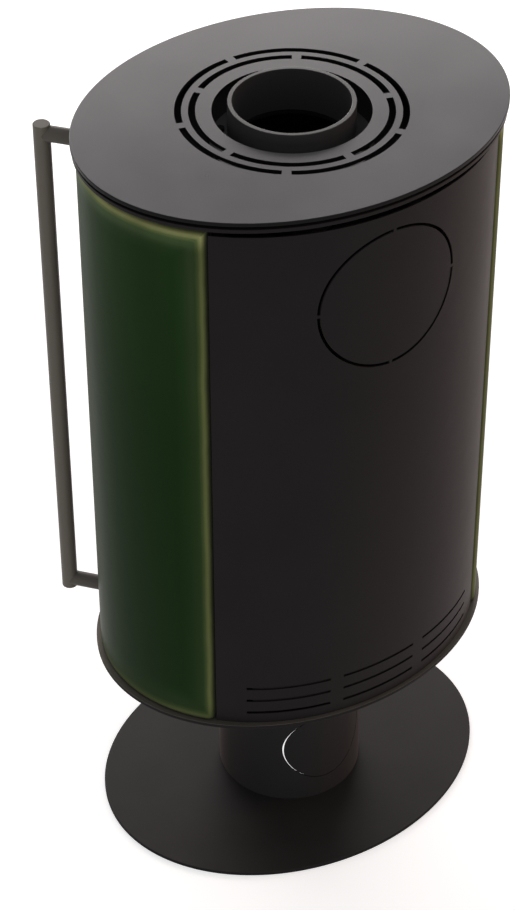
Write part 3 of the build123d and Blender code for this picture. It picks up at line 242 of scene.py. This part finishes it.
# the plates' coat with lighter walls, for the flue collar: painted light
plate_coat("lit_collar_steel", (58, 57, 57), (63, 62, 62), edge=(54, 53, 53), rough=0.3)
# the plates' coat, less metallic and with a darker flat tone, for the floor plate: painted light
# and shade under the body
plate_coat("floor_lit_and_shaded_steel", (45, 43, 43), (51, 49, 49), edge=(27, 26, 26), rough=0.5, metallic=0.5)
# a paler, warm copy of the plates' coat for the bottom plate's ledge: painted reflection
plate_coat("lit_ledge_steel", (86, 82, 76), (94, 90, 84), edge=(28, 26, 26), rough=0.45, metallic=0.6)

# ---------------------------------------------------------------- glazed tiles
JOINT_X, JOINT_Y = 0.2, 0.1334  # plan point where a tile meets the steel
JOINT_NX, JOINT_NY = 0.702, 0.712  # outward normal of the face there
END_GAP = 0.001  # the tile's end lies this far past that point
BOTTOM_SCALE = 0.8  # height over the bottom counts for less, so its bands are wider
CORNER_BLEND = 0.004  # rounds the corners of the rim's bands
WOBBLE_SCALE, WOBBLE = 14.0, 0.003  # noise scale and size of the bands' waviness

GLAZE_RUN = 0.04  # the glaze changes colour over this distance from a tile's edges
GLAZE_AND_EDGE_SHADE_TONES = (  # share of that distance, and colour; the two darkest stops at the very edge are painted shade in the joints
    (0.0, (34, 38, 20)),
    (0.03, (42, 47, 25)),
    (0.08, (72, 77, 44)),
    (0.125, (89, 95, 57)),
    (0.175, (81, 88, 52)),
    (0.225, (59, 71, 38)),
    (0.33, (33, 51, 23)),
    (0.48, (28, 47, 20)),
    (0.68, (18, 42, 13)),
    (1.0, (11, 36, 7)),
)
TOP_HIGHLIGHT_REACH, TOP_HIGHLIGHT_TINT = 0.03, (3.1, 2.8, 3.3, 1)  # painted highlight: paler along the top edge, where the light from above falls on the rim
UPPER_LIGHT_REACH, UPPER_LIGHT_TINT = 0.35, (2.1, 1.5, 2.2, 1)  # painted light: a pale grey cast on the upper face, lit from above
UPPER_LIGHT_FROM, UPPER_LIGHT_TO = 0.2, 0.5  # share of GLAZE_RUN over which that painted light sets in
BOTTOM_SHADE_REACH, BOTTOM_SHADE_TINT = 0.025, (0.55, 0.62, 0.6, 1)  # painted shade: darker along the bottom, beside the bottom plate
POOL_SHARE, POOL_COLOUR = 0.35, (0.004, 0.013, 0.003, 1)  # dark clouds where it is thick
POOL_STRETCH = (1, 1, 0.25)  # they are four times as tall as wide
POOL_FROM, POOL_TO = 0.35, 0.7  # part of the noise over which they set in


def glaze():
    """Thick green glaze: it runs yellow where it thins over the rims, and pools inside them.
    Painted shade darkens its edges and bottom, and painted light brightens its top.
    """
    s = Shader("glaze", Roughness=0.36)
    s.set(Specular_IOR_Level=0.01, Specular_Tint=(1.0, 0.96, 0.88, 1))
    s.set(Sheen_Weight=0.045, Sheen_Roughness=0.6, Sheen_Tint=(1.0, 1.0, 0.85, 1))
    place = s.place()
    x, y, z = s.split(place)
    low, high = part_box("right_tile")

    # distances from the tile's ends, along the face, and from its top and bottom
    past_x = s.math("SUBTRACT", s.math("ABSOLUTE", x), JOINT_X)
    short_y = s.math("SUBTRACT", JOINT_Y, s.math("ABSOLUTE", y))
    along = s.math(
        "ADD", s.math("MULTIPLY", past_x, JOINT_NY), s.math("MULTIPLY", short_y, JOINT_NX)
    )
    from_ends = s.math("SUBTRACT", along, END_GAP)
    from_top = s.math("SUBTRACT", high.z, z)
    from_bottom = s.math("MULTIPLY", s.math("SUBTRACT", z, low.z), BOTTOM_SCALE)

    # the coloured bands round the rim, with painted shade at the very edge
    wave = s.noise(place, scale=WOBBLE_SCALE)
    wobble = s.math("MULTIPLY", s.math("SUBTRACT", wave, 0.5), WOBBLE)
    nearest = s.math(
        "SMOOTH_MIN", from_ends, s.math("MINIMUM", from_top, from_bottom), CORNER_BLEND
    )
    rim = s.math("DIVIDE", s.math("ADD", nearest, wobble), GLAZE_RUN, clamp=True)
    colour = s.ramp(rim, *GLAZE_AND_EDGE_SHADE_TONES)

    # painted light and shade, which fade out with the distance from the top and from the bottom
    painted_top_highlight = s.fade(from_top, 0.0, TOP_HIGHLIGHT_REACH, 1.0, 0.0)
    upper = s.fade(from_top, 0.0, UPPER_LIGHT_REACH, 1.0, 0.0)
    painted_upper_light = s.math("MULTIPLY", upper, s.fade(rim, UPPER_LIGHT_FROM, UPPER_LIGHT_TO))
    painted_bottom_shade = s.fade(from_bottom, 0.0, BOTTOM_SHADE_REACH, 1.0, 0.0)
    for share, tint in ((painted_top_highlight, TOP_HIGHLIGHT_TINT), (painted_upper_light, UPPER_LIGHT_TINT), (painted_bottom_shade, BOTTOM_SHADE_TINT)):
        colour = s.mix(share, colour, s.mix(1.0, colour, tint, "MULTIPLY"))

    cloud = s.noise(s.scaled(place, POOL_STRETCH), scale=9.0, detail=4.0)
    pool = s.fade(cloud, POOL_FROM, POOL_TO, 0.0, POOL_SHARE)
    colour = s.mix(pool, colour, POOL_COLOUR)
    ripple = s.noise(place, scale=26.0, detail=2.0)
    s.set(Base_Color=colour, Normal=s.bump(ripple, strength=0.3, distance=0.001))


glaze()


# ---------------------------------------------------------------- other materials
BRUSHING = (1, 1, 0.05)  # strokes twenty times as tall as wide
WEAVE_SPAN = (0.2, 0.9)  # part of the weave's height over which its tone changes
PANE_THIN, PANE_THICK = 0.3, 0.38  # how much the smoked glass covers, where it varies


def vermiculite():
    """Pressed lining board, with small brown flecks."""
    s = Shader("vermiculite", Roughness=0.95, Specular_IOR_Level=0.15)
    place = s.place()
    flake = s.node("TexVoronoi", Vector=place, Scale=420.0).outputs[0]
    cloud = s.noise(place, scale=18.0, detail=5.0)
    board = s.tones(cloud, (178, 158, 128), (204, 186, 156))
    fleck = rgba((122, 98, 70))
    s.set(
        Base_Color=s.mix(s.fade(flake, 0.05, 0.5), fleck, board),
        Normal=s.bump(flake, strength=0.5, distance=0.0006),
    )


def cast_iron():
    """Sand-cast iron, rough to the touch."""
    s = Shader("cast", Roughness=0.72, Specular_IOR_Level=0.35, Metallic=0.3)
    place = s.place()
    cloud = s.noise(place, scale=22.0, detail=4.0)
    grain = s.noise(place, scale=520.0, detail=4.0, rough=0.7)
    s.set(
        Base_Color=s.tones(cloud, (44, 42, 41), (62, 58, 55)),
        Normal=s.bump(grain, strength=0.6, distance=0.0005),
    )


def bare_metal(name, low, high, rough):
    """Unpainted metal with a faint upright brushing."""
    s = Shader(name, Metallic=0.9)
    place = s.place()
    cloud = s.noise(place, scale=30.0, detail=4.0)
    brush = s.noise(s.scaled(place, BRUSHING), scale=900.0, detail=3.0, rough=0.6)
    s.set(
        Base_Color=s.tones(cloud, low, high),
        Roughness=s.around(rough, brush, spread=0.18),
        Normal=s.bump(brush, strength=0.12, distance=0.00008),
    )


def rope_fibre(name, low, high):
    """Woven fibre of the seals and pads: slanting strands with fuzz."""
    s = Shader(name, Roughness=0.95, Specular_IOR_Level=0.1, Sheen_Weight=0.3)
    place = s.place()
    slanting = {"bands_direction": "DIAGONAL"}
    weave = s.node("TexWave", slanting, Vector=place, Scale=300.0, Distortion=1.5).outputs[1]
    fuzz = s.noise(place, scale=1500.0)
    both = s.math("ADD", weave, s.math("MULTIPLY", fuzz, 0.5))
    s.set(
        Base_Color=s.tones(both, low, high, span=WEAVE_SPAN),
        Normal=s.bump(both, strength=0.6, distance=0.0006),
    )


def pane():
    """Smoked door glass: light goes straight through, and the lining shows darkly behind it."""
    s = Shader("glass", Roughness=0.03, Specular_IOR_Level=0.12)
    smear = s.noise(s.place(), scale=7.0, detail=5.0)
    s.set(
        Base_Color=s.tones(smear, (20, 19, 18), (30, 28, 26)),
        Alpha=s.fade(smear, 0.3, 0.8, PANE_THIN, PANE_THICK),
    )


vermiculite()
cast_iron()
bare_metal("raw_steel", (150, 150, 150), (176, 176, 175), rough=0.36)
bare_metal("oxide_steel", (64, 62, 61), (84, 82, 80), rough=0.42)
bare_metal("bronze", (146, 104, 58), (176, 132, 78), rough=0.34)
rope_fibre("fibre", (92, 90, 86), (150, 147, 140))
rope_fibre("graphite", (24, 24, 24), (44, 43, 42))
pane()

# ---------------------------------------------------------------- finishes of the pieces
own_finish = {  # these pieces get a finish of their own: lit or shaded copies of a slot's paint, which paint light or shade on them, or a real finish of their own
    "floor_plate": "floor_lit_and_shaded_steel",
    "flue_collar": "lit_collar_steel",
    "pedestal_tube": "lit_pedestal_steel",
    "handle_arms": "shaded_arm_steel",
    "bottom_plate": "lit_ledge_steel",
    "firebox_top": "shaded_inner_steel",
    "collar_bolts": "shaded_inner_steel",
    "outlet_cover": "shaded_inner_steel",
    "outlet_cover_bolts": "shaded_inner_steel",
    "tile_pads": "graphite",
    "collar_gasket": "graphite",
    "top_spacers": "oxide_steel",
    "hinge_pins": "oxide_steel",
    "door_striker": "oxide_steel",
}

for entry in frame["record"]["subparts"]:
    looks = nodes[entry["node"]].data.materials
    looks.clear()
    looks.append(finishes[own_finish.get(entry["node"], entry["material_slot"])])

# ---------------------------------------------------------------- stage
FLOOR_RADIUS, FLOOR_SIDES = 30.0, 64
FLOOR_DROP = 0.0003  # keeps the floor just clear of the underside of the floor plate
FLOOR_GREY = (0.82, 0.82, 0.82, 1)
FLOOR_GLOW = 0.5  # lifts the floor, where it is seen, towards the white background
OPEN_FOOT = (0.069, 0.071)  # within this radius, inside the column, it glows fully white
FAR_GLOW = 0.35  # is added far from the stove, where the lamps reach less
NEAR, FAR = 1.0, 3.5  # distances between which that sets in
WHITE = (1, 1, 1, 1)

ground = bpy.data.meshes.new("floor")
angles = [2 * pi * i / FLOOR_SIDES for i in range(FLOOR_SIDES)]
rim = [(FLOOR_RADIUS * cos(angle), FLOOR_RADIUS * sin(angle), 0) for angle in angles]
ground.from_pydata(rim, [], [range(FLOOR_SIDES)])
floor = bpy.data.objects.new("floor", ground)
floor.location.z = -FLOOR_DROP
scene.collection.objects.link(floor)

s = Shader("floor", Base_Color=FLOOR_GREY, Roughness=0.9, Specular_IOR_Level=0.0)
distance = s.node("VectorMath", {"operation": "LENGTH"}, _0=s.place()).outputs["Value"]
close_by = s.fade(distance, *OPEN_FOOT, 1.0, FLOOR_GLOW)
glow = s.math("ADD", close_by, s.fade(distance, NEAR, FAR, 0.0, FAR_GLOW))
s.set(Emission_Color=WHITE, Emission_Strength=s.math("MULTIPLY", s.shows_white(), glow))
ground.materials.append(s.material)

# ---------------------------------------------------------------- light
SKY_LIGHT = 0.45  # strength of the world as a lamp, where 1 is the white that is seen

world = bpy.data.worlds.new("world")
world.use_nodes = True
scene.world = world
sky = Nodes(world.node_tree)
background = world.node_tree.nodes["Background"]
sky.put(background, "Color", WHITE)
sky.put(background, "Strength", sky.fade(sky.shows_white(), 0.0, 1.0, SKY_LIGHT, 1.0))


def softbox(name, place, target, size, watts, colour=(1, 1, 1)):
    """A rectangular lamp of a width and a height, turned to its target."""
    light = bpy.data.lights.new(name, "AREA")
    light.shape = "RECTANGLE"
    light.size, light.size_y = size
    light.energy = watts
    light.color = colour
    made = bpy.data.objects.new(name, light)
    made.location = place
    made.rotation_euler = (Vector(target) - Vector(place)).to_track_quat("-Z", "Y").to_euler()
    scene.collection.objects.link(made)


softbox("overhead", (0, 0, 4.2), (0, 0, 0.8), size=(3.0, 3.0), watts=20)
softbox("window", (-1.7, -4.15, 2.4), (0, 0, 1.0), (4.5, 1.8), watts=138, colour=(1, 0.94, 0.93))
softbox("fill", (2.3, 3.2, 0.6), (0, 0, 0.5), size=(3.0, 1.0), watts=40)
softbox("lamp", (-3.4, 1.4, 1.0), (0, 0, 0.6), (1.2, 1.8), watts=35, colour=(1, 0.42, 0.24))
